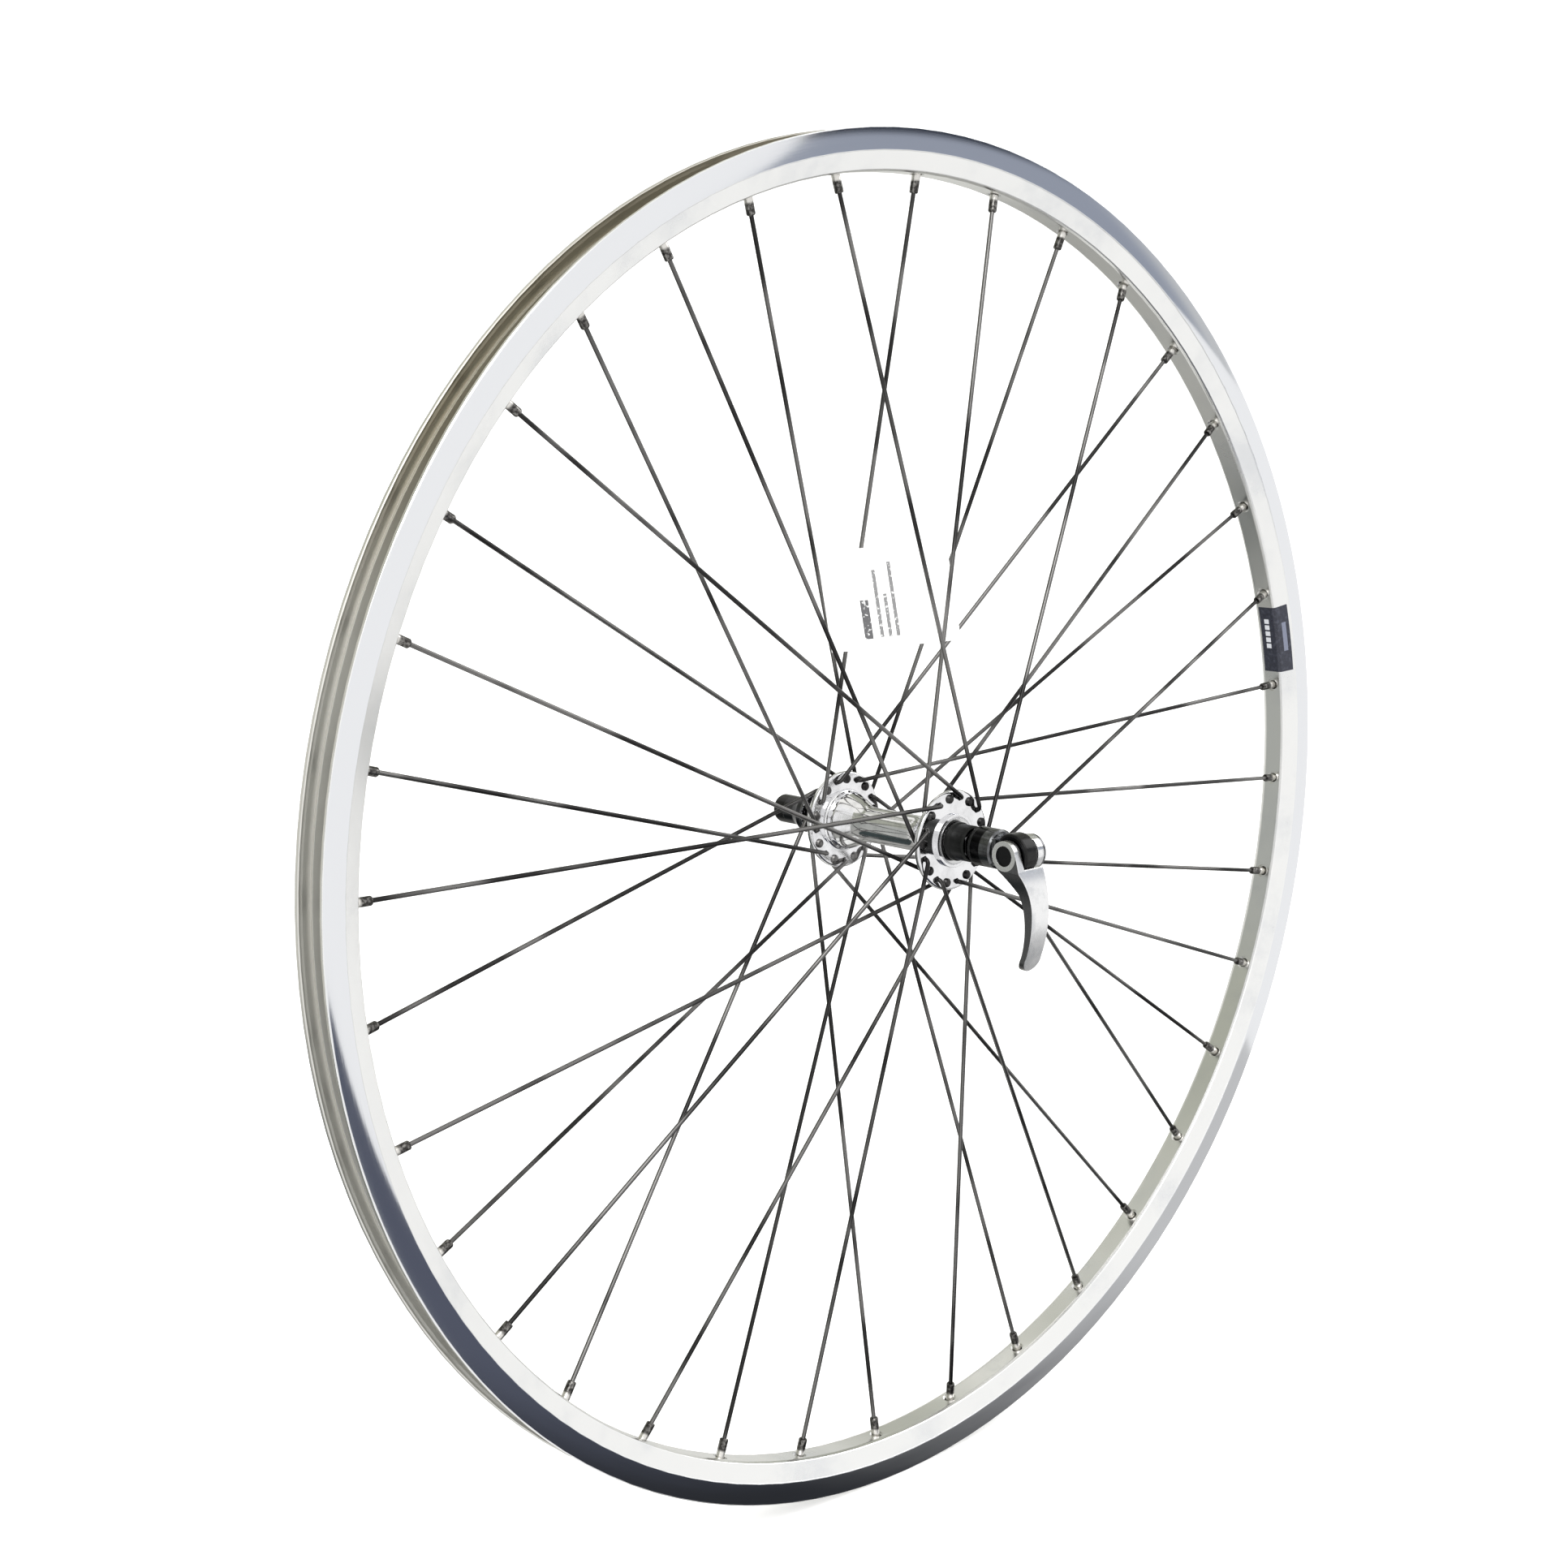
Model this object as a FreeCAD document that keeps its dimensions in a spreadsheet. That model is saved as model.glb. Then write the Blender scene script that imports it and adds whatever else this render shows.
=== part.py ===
import FreeCAD, Part

import math
import os
import re

import Sketcher
from FreeCAD import Placement, Rotation, Vector

# A front bicycle wheel of the 700C size with a quick-release skewer, in millimetres.
#
# Frame: the origin is the hub's centre and the wheel spins about +Y. The lever is on the left,
# at -Y, the adjusting nut on the right, at +Y, and +Z is up. An angle round the wheel is
# measured from +Z towards +X. A profile is drawn as (radius, y) and turned about the Y axis.

DIMENSIONS = {
    # Lacing: where the first spoke stands, and how the spokes reach the hub
    "spoke_phase": -8.05,
    "spoke_count": 36,
    "spokes_per_set": 9,
    "crossings": 3,
    "spoke_circle": 19.6,
    "spoke_radius": 1.0,
    "spoke_end_radius": 301.0,
    "elbow_radius": 2.3,
    "elbow_start": 1.4,
    "head_radius": 2.1,
    "head_height": 1.3,
    "head_gap": 0.05,
    # Rim section
    "rim_radius": 317.0,
    "rim_width": 20.0,
    "lip_round": 0.5,
    "hook_depth": 2.4,
    "hook_height": 1.3,
    "track_wall": 1.7,
    "track_height": 10.4,
    "track_step": 0.35,
    "bead_radius": 311.0,
    "well_radius": 306.5,
    "well_half_width": 5.0,
    "well_draft": 1.6,
    "well_wall": 1.4,
    "bed_radius": 298.0,
    "bed_wall": 2.2,
    "bed_half_width": 4.6,
    "shoulder_drop": 0.6,
    "shoulder_half_width": 6.2,
    "hollow_foot": 4.0,
    "hollow_waist": 5.7,
    "hollow_shoulder": 8.0,
    "hollow_side": 1.7,
    "shoulder_round": 0.9,
    "nipple_hole_radius": 2.5,
    "dimple_radius": 3.3,
    "dimple_depth": 0.9,
    "access_hole_radius": 4.3,
    "valve_hole_radius": 4.25,
    # Nipples, measured along the spoke from its end
    "nipple_radius": 2.0,
    "nipple_tip": 11.3,
    "nipple_head_radius": 3.1,
    "nipple_head_height": 2.6,
    "thread_gap": 0.02,
    # Joint sleeve, label and card
    "sleeve_gap": 0.15,
    "sleeve_angle": 7.0,
    "joint_angle": 85.0,
    "label_gap": 0.03,
    "label_thickness": 0.15,
    "label_angle": 7.0,
    "label_reach": 4.0,
    "label_wall_height": 6.6,
    "card_left": -61.0,
    "card_front": -19.7,
    "card_low": 89.4,
    "card_width": 80.0,
    "card_height": 45.0,
    "card_thickness": 0.35,
    "card_lean": 13.0,
    "card_twist": 1.8,
    # Hub shell
    "flange_centre": 35.0,
    "flange_thickness": 3.0,
    "flange_radius": 23.2,
    "spoke_hole_radius": 1.3,
    "barrel_radius": 8.4,
    "barrel_half_length": 18.0,
    "bell_radius": 13.4,
    "bell_start": 29.5,
    "bore_radius": 6.4,
    "cup_seat": 29.5,
    "hub_end": 38.2,
    "boss_radius": 12.3,
    "barrel_flare": 14.0,
    "bell_round": 3.0,
    "flange_root_round": 1.5,
    "flange_edge_round": 1.2,
    # Bearings
    "ball_radius": 2.38,
    "ball_circle": 8.3,
    "ball_centre": 33.5,
    "balls_per_side": 9,
    "race_gap": 0.03,
    "cup_radius": 11.0,
    "cup_bore": 10.4,
    "cone_radius": 7.5,
    "cone_flats": 13.0,
    "dust_cap_bore": 7.75,
    # Axle
    "axle_radius": 4.5,
    "axle_bore": 2.8,
    "axle_half_length": 54.0,
    "over_locknuts": 100.0,
    "washer_start": 44.2,
    "washer_radius": 7.2,
    "locknut_start": 45.6,
    "locknut_flats": 13.0,
    "locknut_corners": 7.45,
    "boot_start": 38.6,
    "boot_radius": 8.3,
    "boot_bore": 7.55,
    # Skewer and lever housing: distances outward from the hub's centre
    "skewer_radius": 2.5,
    "housing_face": 53.0,
    "housing_radius": 9.0,
    "housing_recess": 6.6,
    "housing_recess_depth": 7.0,
    "housing_neck": 66.0,
    "neck_half_height": 5.6,
    "pivot_offset": 77.0,
    "pivot_head_radius": 8.2,
    "pivot_head_width": 13.0,
    "journal_radius": 4.6,
    "shaft_head_radius": 7.9,
    "cam_radius": 3.5,
    "cam_throw": 0.9,
    "eye_width": 5.0,
    "eye_radius": 6.2,
    "eye_gap": 0.3,
    "cap_radius": 9.5,
    "cap_round": 0.8,
    "cap_width": 7.5,
    "lever_clearance": 0.6,
    "lever_width": 11.0,
    "boss_disc_radius": 6.8,
    "nub_radius": 1.6,
    "boss_face": 11.2,
    "boss_recess_radius": 4.6,
    "boss_recess_depth": 0.7,
    # Adjusting nut
    "nut_face": 54.0,
    "nut_base_radius": 9.6,
    "nut_neck_radius": 6.9,
    "nut_cap_start": 70.0,
    "nut_end": 78.0,
    "nut_recess": 7.2,
    "nut_recess_depth": 6.0,
    "nut_lip": 1.2,
    "nut_waist_round": 4.0,
    "insert_radius": 3.6,
    # Toothed rings that bite on the fork, and the room they stand in
    "ring_width": 1.55,
    "ring_seat": 1.6,
    "tooth_gap": 0.6,
    "tooth_depth": 0.5,
    "tooth_count": 24,
    # Conical springs
    "spring_wire_radius": 0.45,
    "spring_small_radius": 3.6,
    "spring_pitch": 1.7,
    "spring_turns": 2.5,
    "spring_start": 54.9,
    "spring_flare_angle": 20.0,
}

LEFT, RIGHT = -1, 1
NODE_FOLDER = "parts"

doc = FreeCAD.newDocument("quick_release_wheel")
sheet = doc.addObject("Spreadsheet::Sheet", "dims")
for row, (alias, amount) in enumerate(DIMENSIONS.items(), start=1):
    sheet.set(f"A{row}", alias.replace("_", " "))
    sheet.set(f"B{row}", str(amount))
    sheet.setAlias(f"B{row}", alias)
doc.recompute()

sub_parts = []


# ---------------------------------------------------------------- helpers

def linked(expression):
    """Write the sheet's name before each of its aliases."""
    def with_sheet(found):
        word = found.group(0)
        return f"dims.{word}" if word in DIMENSIONS else word
    return re.sub(r"[a-z_]+", with_sheet, expression)


def size(expression):
    """The value of an expression of the sheet's aliases."""
    return float(sheet.evalExpression(expression))


def origin_feature(body, role):
    return next(feature for feature in body.Origin.OriginFeatures if feature.Role == role)


def new_body(label, turned=False):
    """A body for one sub-part; a turned one stands at the wheel's rest angle."""
    body = doc.addObject("PartDesign::Body", label)
    body.Label = label
    if turned:
        body.Placement = Placement(Vector(), Rotation(Vector(0, 1, 0), size("spoke_phase")))
        body.setExpression("Placement.Rotation.Angle", linked("spoke_phase"))
    sub_parts.append(body)
    return body


def new_sketch(body, name, role="XY_Plane", base=("0", "0", "0"), rotation=Rotation()):
    """A sketch on one of the body's origin planes, moved by base in that plane's own axes."""
    sketch = body.newObject("Sketcher::SketchObject", f"{body.Label}_{name}")
    sketch.AttachmentSupport = [(origin_feature(body, role), "")]
    sketch.MapMode = "FlatFace"
    sketch.AttachmentOffset = Placement(Vector(*[size(part) for part in base]), rotation)
    for axis, part in zip("xyz", base):
        if part != "0":
            sketch.setExpression(f"AttachmentOffset.Base.{axis}", linked(part))
    return sketch


def dimension(sketch, name, constraint, expression):
    """Add a constraint whose value is bound to an expression."""
    index = sketch.addConstraint(constraint)
    sketch.renameConstraint(index, name)
    sketch.setExpression(f"Constraints.{name}", linked(expression))


def pin_point(sketch, name, edge, end, x, y):
    """Hold one point of a sketch at (x, y) from the sketch's origin."""
    across = Sketcher.Constraint("DistanceX", -1, 1, edge, end, size(x))
    up = Sketcher.Constraint("DistanceY", -1, 1, edge, end, size(y))
    dimension(sketch, f"{name}_x", across, x)
    dimension(sketch, f"{name}_y", up, y)


def ends_in_order(sketch, edge, start):
    """The edge's point numbers, with the one that lies at start first."""
    begins_there = sketch.Geometry[edge].StartPoint.distanceToPoint(start) < 1e-4
    return (1, 2) if begins_there else (2, 1)


def arc_through(start, via, end):
    """The arc from start to end through via, as the counter-clockwise arc a sketch needs."""
    circle = Part.Arc(start, via, end).toShape().Curve
    centre = circle.Center

    def bearing(point):
        return math.atan2(point.y - centre.y, point.x - centre.x)

    first, last = bearing(start), bearing(end)
    sweep = (last - first) % math.tau
    if (bearing(via) - first) % math.tau > sweep:
        first, sweep = last, math.tau - sweep
    return Part.ArcOfCircle(Part.Circle(centre, Vector(0, 0, 1), circle.Radius), first, first + sweep)


def draw_outline(sketch, corners, tag="corner"):
    """A closed outline. A corner of four entries is reached by an arc through its last two."""
    spots = [Vector(size(corner[0]), size(corner[1]), 0) for corner in corners]
    edges = []
    for index, corner in enumerate(corners):
        start, end = spots[index - 1], spots[index]
        if len(corner) == 4:
            via = Vector(size(corner[2]), size(corner[3]), 0)
            edge = sketch.addGeometry(arc_through(start, via, end))
            point = sketch.addGeometry(Part.Point(via), True)
            pin_point(sketch, f"{tag}{index}_via", point, 1, corner[2], corner[3])
            sketch.addConstraint(Sketcher.Constraint("PointOnObject", point, 1, edge))
        else:
            edge = sketch.addGeometry(Part.LineSegment(start, end))
        edges.append((edge, *ends_in_order(sketch, edge, start)))
    for index, (edge, _, last) in enumerate(edges):
        following, first, _ = edges[(index + 1) % len(edges)]
        sketch.addConstraint(Sketcher.Constraint("Coincident", edge, last, following, first))
        pin_point(sketch, f"{tag}{index}", edge, last, corners[index][0], corners[index][1])


def draw_circle(sketch, radius, x="0", y="0"):
    centre = Vector(size(x), size(y), 0)
    edge = sketch.addGeometry(Part.Circle(centre, Vector(0, 0, 1), size(radius)))
    pin_point(sketch, "centre", edge, 3, x, y)
    dimension(sketch, "radius", Sketcher.Constraint("Radius", edge, size(radius)), radius)


def feature(body, kind, name, **settings):
    """Add a PartDesign feature, set its properties and make it the body's tip."""
    made = body.newObject(f"PartDesign::{kind}", f"{body.Label}_{name}")
    for key, setting in settings.items():
        setattr(made, key, setting)
    body.Tip = made
    return made


def turn(body, sketch, name="turned", angle=360, middle=False):
    return feature(body, "Revolution", name, Profile=sketch, ReferenceAxis=(sketch, ["V_Axis"]),
                   Angle=angle, Midplane=middle)


def pad(body, sketch, name, length, symmetric=False, backward=False):
    made = feature(body, "Pad", name, Profile=sketch, Length=size(length), Reversed=backward)
    made.SideType = "Symmetric" if symmetric else "One side"
    made.setExpression("Length", linked(length))
    return made


def cut(body, sketch, name, length, symmetric=False, backward=False):
    """A pocket that must take material away. It runs against the sketch's normal."""
    doc.recompute()
    before = body.Shape.Volume
    made = feature(body, "Pocket", name, Profile=sketch, Length=size(length), Reversed=backward)
    made.SideType = "Symmetric" if symmetric else "One side"
    made.setExpression("Length", linked(length))
    doc.recompute()
    if not body.Shape.Volume < before - 1e-3:
        raise RuntimeError(f"{made.Name} cuts nothing")
    return made


def repeat(body, originals, name, times):
    """Repeat features evenly round the body's Y axis."""
    made = feature(body, "PolarPattern", name, Originals=originals, Angle=360,
                   Occurrences=int(size(times)), Axis=(origin_feature(body, "Y_Axis"), [""]))
    made.setExpression("Occurrences", linked(times))
    return made


def round_rings(body, name, rings, radius):
    """Fillet the circular edges that stand at the given (radius, y) places."""
    doc.recompute()
    tip = body.Tip
    wanted = [(size(ring_radius), size(y)) for ring_radius, y in rings]
    names = []
    for index, edge in enumerate(tip.Shape.Edges, start=1):
        if not isinstance(edge.Curve, Part.Circle):
            continue
        found = (edge.Curve.Radius, edge.Curve.Center.y)
        if any(math.dist(found, ring) < 1e-3 for ring in wanted):
            names.append(f"Edge{index}")
    made = feature(body, "Fillet", name, Base=(tip, names), Radius=size(radius))
    made.setExpression("Radius", linked(radius))
    return made


def on_side(side, corners):
    """Mirror a (radius, y) profile to the left side where needed."""
    return [(radius, y if side == RIGHT else f"-({y})") for radius, y in corners]


def both_sides(half):
    """A profile's right half followed by its mirror image."""
    return half + [(radius, f"-({y})") for radius, y in reversed(half)]


def lathe(label, corners, turned=False):
    """A body of revolution about the Y axis."""
    body = new_body(label, turned)
    sketch = new_sketch(body, "profile")
    draw_outline(sketch, corners)
    turn(body, sketch)
    return body


def groove_race(body, side):
    """Cut the ball track that the bearing balls run in."""
    sketch = new_sketch(body, "race")
    centre_y = "ball_centre" if side == RIGHT else "-ball_centre"
    draw_circle(sketch, "ball_radius + race_gap", "ball_circle", centre_y)
    feature(body, "Groove", "track", Profile=sketch, ReferenceAxis=(sketch, ["V_Axis"]), Angle=360)


def cut_flats(body, across, count, low, high):
    """Cut spanner flats between two y values."""
    sketch = new_sketch(body, "flat", "XZ_Plane", base=("0", "0", f"-({low})"))
    inner, outer, half = f"{across} / 2", f"{across}", f"{across}"
    draw_outline(sketch, [(inner, f"-{half}"), (outer, f"-{half}"), (outer, half), (inner, half)])
    flat = cut(body, sketch, "first_flat", f"({high}) - ({low})")
    made = feature(body, "PolarPattern", "flats", Originals=[flat], Angle=360, Occurrences=count,
                   Axis=(origin_feature(body, "Y_Axis"), [""]))
    return made


# ---------------------------------------------------------------- rim

def build_rim():
    body = new_body("rim", turned=True)
    edge = "rim_width / 2"
    half = [
        ("bed_radius", "bed_half_width"),
        ("bed_radius + shoulder_drop", "shoulder_half_width"),
        ("rim_radius - track_height", f"{edge} - track_step"),
        ("rim_radius - track_height + track_step", edge),
        ("rim_radius - lip_round", edge),
        ("rim_radius", f"{edge} - lip_round"),
        ("rim_radius", f"{edge} - hook_depth + lip_round"),
        ("rim_radius - lip_round", f"{edge} - hook_depth"),
        ("rim_radius - hook_height", f"{edge} - hook_depth"),
        ("rim_radius - 2 * hook_height", f"{edge} - track_wall"),
        ("bead_radius", f"{edge} - track_wall"),
        ("bead_radius", "well_half_width + well_draft"),
        ("well_radius", "well_half_width"),
    ]
    hollow_half = [
        ("bed_radius + bed_wall", "hollow_foot"),
        ("bed_radius + bed_wall + 1", "hollow_waist"),
        ("well_radius", "hollow_shoulder"),
        ("bead_radius - hollow_side", "hollow_shoulder"),
        ("bead_radius - hollow_side", "hollow_shoulder - 0.5"),
        ("well_radius - well_wall", "hollow_waist"),
    ]
    section = new_sketch(body, "section")
    draw_outline(section, both_sides(half), "outer")
    draw_outline(section, both_sides(hollow_half), "hollow")
    turn(body, section, "extrusion")
    shoulders = [("bed_radius", "bed_half_width"), ("bed_radius", "-bed_half_width"),
                 ("bed_radius + shoulder_drop", "shoulder_half_width"),
                 ("bed_radius + shoulder_drop", "-shoulder_half_width")]
    round_rings(body, "shoulder_round", shoulders, "shoulder_round")

    bed_hole = new_sketch(body, "nipple_hole", base=("0", "0", "bed_radius - 1"))
    draw_circle(bed_hole, "nipple_hole_radius")
    nipple_hole = cut(body, bed_hole, "first_nipple_hole", "bed_wall + 2", backward=True)
    rim_dimple = new_sketch(body, "dimple", base=("0", "0", "bed_radius - 1"))
    draw_circle(rim_dimple, "dimple_radius")
    dimple = cut(body, rim_dimple, "first_dimple", "dimple_depth + 1", backward=True)
    floor_hole = new_sketch(body, "access_hole", base=("0", "0", "well_radius - well_wall - 1"))
    draw_circle(floor_hole, "access_hole_radius")
    access_hole = cut(body, floor_hole, "first_access_hole", "well_wall + 2", backward=True)
    repeat(body, [nipple_hole, dimple, access_hole], "spoke_holes", "spoke_count")

    # The valve stands opposite the rim's joint, midway between two spokes
    valve_turn = Rotation(Vector(0, 1, 0), size("joint_angle") + 180)
    valve = new_sketch(body, "valve_hole", rotation=valve_turn)
    draw_circle(valve, "valve_hole_radius")
    cut(body, valve, "valve", "rim_radius", backward=True)


def build_rim_joint():
    """The sleeve inside the rim that joins the two ends of the rolled extrusion."""
    body = new_body("rim_joint_sleeve", turned=True)
    half = [
        ("bed_radius + bed_wall + sleeve_gap", "hollow_foot - sleeve_gap"),
        ("bed_radius + bed_wall + 1", "hollow_waist - 2 * sleeve_gap"),
        ("well_radius - well_wall - sleeve_gap", "hollow_waist - 2 * sleeve_gap"),
    ]
    section = new_sketch(body, "section", rotation=Rotation(Vector(0, 1, 0), size("joint_angle") - 90))
    draw_outline(section, both_sides(half))
    turn(body, section, "sleeve", size("sleeve_angle"), middle=True)


def build_label():
    """The thin label over the rim's joint, folded from the spoke bed onto the left wall."""
    body = new_body("rim_label", turned=True)
    wall_rise = "label_wall_height * (rim_width / 2 - track_step - shoulder_half_width)"
    wall_run = "(rim_radius - track_height - bed_radius - shoulder_drop)"
    wall_y = f"-(shoulder_half_width + {wall_rise} / {wall_run})"
    under = [
        ("bed_radius - label_gap", "label_reach"),
        ("bed_radius - label_gap", "-bed_half_width"),
        ("bed_radius + shoulder_drop - label_gap", "-shoulder_half_width - label_gap"),
        ("bed_radius + shoulder_drop + label_wall_height", f"{wall_y} - 1.5 * label_gap"),
    ]
    over = [
        ("bed_radius + shoulder_drop + label_wall_height", f"{wall_y} - label_gap - label_thickness"),
        ("bed_radius + shoulder_drop - label_thickness / 2",
         "-shoulder_half_width - label_gap - label_thickness"),
        ("bed_radius - label_gap - label_thickness", "-bed_half_width - label_thickness / 3"),
        ("bed_radius - label_gap - label_thickness", "label_reach"),
    ]
    section = new_sketch(body, "section", rotation=Rotation(Vector(0, 1, 0), size("joint_angle") - 90))
    draw_outline(section, under + over)
    turn(body, section, "sheet", size("label_angle"), middle=True)


# ---------------------------------------------------------------- spokes

REACH = ("sqrt(spoke_circle^2 + spoke_end_radius^2"
         " - 2 * spoke_circle * spoke_end_radius * cos(crossings * 720 / spoke_count))")


class SpokeLine:
    """Where the first spoke of a set lies, in the plane that its elbow bends in.

    In that plane, across runs from the hub hole towards the rim and up runs along +Y. The
    spoke stands in its flange hole, bends through the elbow and runs straight to the rim.
    """

    def __init__(self, hole, lead, side, run):
        step = 360 / size("spoke_count")
        rim_angle = math.radians(hole * step)
        hub_angle = rim_angle + math.radians(lead * size("crossings") * 2 * step)
        hub_reach, rim_reach = size("spoke_circle"), size("spoke_end_radius")
        self.side, self.run = side, run
        self.hub_hole = Vector(hub_reach * math.sin(hub_angle), side * size("flange_centre"),
                               hub_reach * math.cos(hub_angle))
        self.rim_end = Vector(rim_reach * math.sin(rim_angle), 0, rim_reach * math.cos(rim_angle))
        span = self.rim_end - self.hub_hole
        self.reach = math.hypot(span.x, span.z)
        self.plane_turn = Rotation(Vector(0, 1, 0), math.degrees(math.atan2(-span.z, span.x)))
        # The straight part is tangent to the elbow's circle and ends at the rim's mid-plane
        bend = size("elbow_radius")
        across = self.reach - bend
        up = -run * side * size("flange_centre") - size("elbow_start")
        self.slope = math.atan2(up, across) - math.asin(bend / math.hypot(across, up))

    def elbow_point(self, share):
        """A point on the elbow's centreline, share of the way from the hub to the straight."""
        last = math.pi / 2 + self.slope
        angle = math.pi + share * (last - math.pi)
        bend = size("elbow_radius")
        return Vector(bend + bend * math.cos(angle),
                      self.run * (size("elbow_start") + bend * math.sin(angle)), 0)

    def along_turn(self):
        """The rotation that lays a sketch's vertical axis along the straight part, outward."""
        tilt = math.degrees(self.run * self.slope) - 90
        return self.plane_turn * Rotation(Vector(0, 0, 1), tilt)

    def direction(self):
        return self.along_turn().multVec(Vector(0, 1, 0))


# Each set: the first rim hole, which way its spokes lean round the hub, the flange's side, and
# whether they run along the flange's right (+1) or left (-1) face.
SPOKE_SETS = {
    "spokes_left_leading": SpokeLine(0, 1, LEFT, LEFT),
    "spokes_left_trailing": SpokeLine(2, -1, LEFT, RIGHT),
    "spokes_right_trailing": SpokeLine(1, -1, RIGHT, LEFT),
    "spokes_right_leading": SpokeLine(3, 1, RIGHT, RIGHT),
}


def build_spokes(label, line):
    body = new_body(label, turned=True)
    side, run = line.side, line.run
    hub = [str(part) for part in line.hub_hole]
    stub = f"{-run} * (flange_thickness / 2 + head_gap + head_height / 2)"

    path = new_sketch(body, "path", rotation=line.plane_turn)
    path.AttachmentOffset = Placement(line.hub_hole, line.plane_turn)
    foot, bend_end = line.elbow_point(0), line.elbow_point(1)
    tip = Vector(line.reach, -side * size("flange_centre"), 0)
    stub_line = path.addGeometry(Part.LineSegment(Vector(0, size(stub), 0), foot))
    elbow = path.addGeometry(arc_through(foot, line.elbow_point(0.5), bend_end))
    straight = path.addGeometry(Part.LineSegment(bend_end, tip))
    elbow_first, elbow_last = ends_in_order(path, elbow, foot)
    pin_point(path, "stub", stub_line, 1, "0", stub)
    pin_point(path, "foot", stub_line, 2, "0", f"{run} * elbow_start")
    path.addConstraint(Sketcher.Constraint("Tangent", stub_line, 2, elbow, elbow_first))
    path.addConstraint(Sketcher.Constraint("Tangent", elbow, elbow_last, straight, 1))
    bend = Sketcher.Constraint("Radius", elbow, size("elbow_radius"))
    dimension(path, "bend", bend, "elbow_radius")
    pin_point(path, "tip", straight, 2, REACH, f"{-side} * flange_centre")

    wire = new_sketch(body, "wire", "XZ_Plane", base=(hub[0], hub[2], f"-({hub[1]} + {stub})"))
    draw_circle(wire, "spoke_radius")
    pipe = feature(body, "AdditivePipe", "pipe", Profile=wire,
                   Spine=(path, ["Edge1", "Edge2", "Edge3"]))

    under = f"{-run} * (flange_thickness / 2 + head_gap)"
    crown = f"{under} - {run} * head_height"
    head = new_sketch(body, "head", rotation=line.plane_turn)
    head.AttachmentOffset = Placement(line.hub_hole, line.plane_turn)
    draw_outline(head, [("0", under), ("head_radius", under),
                        ("head_radius", f"{under} - {run} * head_height * 0.4"),
                        ("head_radius * 0.75", f"{crown} + {run} * head_height * 0.15"),
                        ("head_radius * 0.4", crown), ("0", crown)])
    button = turn(body, head, "head_button")
    repeat(body, [pipe, button], "set", "spokes_per_set")


def build_nipples(label, lines):
    """The nipples of one side's two spoke sets, turned about their own spokes."""
    body = new_body(label, turned=True)
    bore = "spoke_radius + thread_gap"
    corners = [
        (bore, "-nipple_tip"),
        ("nipple_radius - 0.3", "-nipple_tip"),
        ("nipple_radius", "0.5 - nipple_tip"),
        ("nipple_radius", "-0.5"),
        ("nipple_head_radius", "0.4"),
        ("nipple_head_radius", "nipple_head_height / 2"),
        ("nipple_radius", "nipple_head_height"),
        (bore, "nipple_head_height"),
    ]
    originals = []
    for number, line in enumerate(lines):
        profile = new_sketch(body, f"profile_{number}")
        profile.AttachmentOffset = Placement(line.rim_end, line.along_turn())
        draw_outline(profile, corners)
        originals.append(turn(body, profile, f"nipple_{number}"))
    repeat(body, originals, "set", "spokes_per_set")


def build_card():
    """A stiff card tucked behind the left spokes, level at rest with its top leaning inward."""
    body = new_body("spoke_card")
    upright = Rotation(Vector(1, 0, 0), 90 - size("card_lean"))
    twist = Rotation(Vector(0, 0, 1), -size("card_twist"))
    outline = new_sketch(body, "outline", base=("card_left", "card_front", "card_low"),
                         rotation=twist * upright)
    draw_outline(outline, [("0", "0"), ("card_width", "0"), ("card_width", "card_height"),
                           ("0", "card_height")])
    pad(body, outline, "sheet", "card_thickness", backward=True)


# ---------------------------------------------------------------- hub

def build_hub_shell():
    inner, outer = "flange_centre - flange_thickness / 2", "flange_centre + flange_thickness / 2"
    half = [
        ("barrel_radius", "barrel_half_length"),
        ("bell_radius", "bell_start"),
        ("bell_radius", inner),
        ("flange_radius", inner),
        ("flange_radius", outer),
        ("boss_radius", outer),
        ("boss_radius", "hub_end"),
        ("cup_radius + thread_gap", "hub_end"),
        ("cup_radius + thread_gap", "cup_seat"),
        ("bore_radius", "cup_seat"),
    ]
    body = lathe("hub_shell", both_sides(half), turned=True)
    signs = ("", "-")
    flares = [("barrel_radius", f"{s}barrel_half_length") for s in signs]
    round_rings(body, "flare", flares, "barrel_flare")
    round_rings(body, "bell", [("bell_radius", f"{s}bell_start") for s in signs], "bell_round")
    corners = [("bell_radius", f"{s}({inner})") for s in signs]
    round_rings(body, "flange_root", corners, "flange_root_round")
    rims = [("flange_radius", f"{s}({face})") for s in signs for face in (inner, outer)]
    round_rings(body, "flange_edge", rims, "flange_edge_round")

    step = "360 / spoke_count"
    starts = {"left": ("flange_centre + flange_thickness", "0", "spoke_circle"),
              "right": ("flange_thickness - flange_centre",
                        f"spoke_circle * sin({step})", f"spoke_circle * cos({step})")}
    for name, (offset, x, z) in starts.items():
        hole = new_sketch(body, f"{name}_hole", "XZ_Plane", base=("0", "0", offset))
        draw_circle(hole, "spoke_hole_radius", x, z)
        first = cut(body, hole, f"first_{name}_hole", "2 * flange_thickness")
        repeat(body, [first], f"{name}_holes", "spoke_count / 2")


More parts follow.
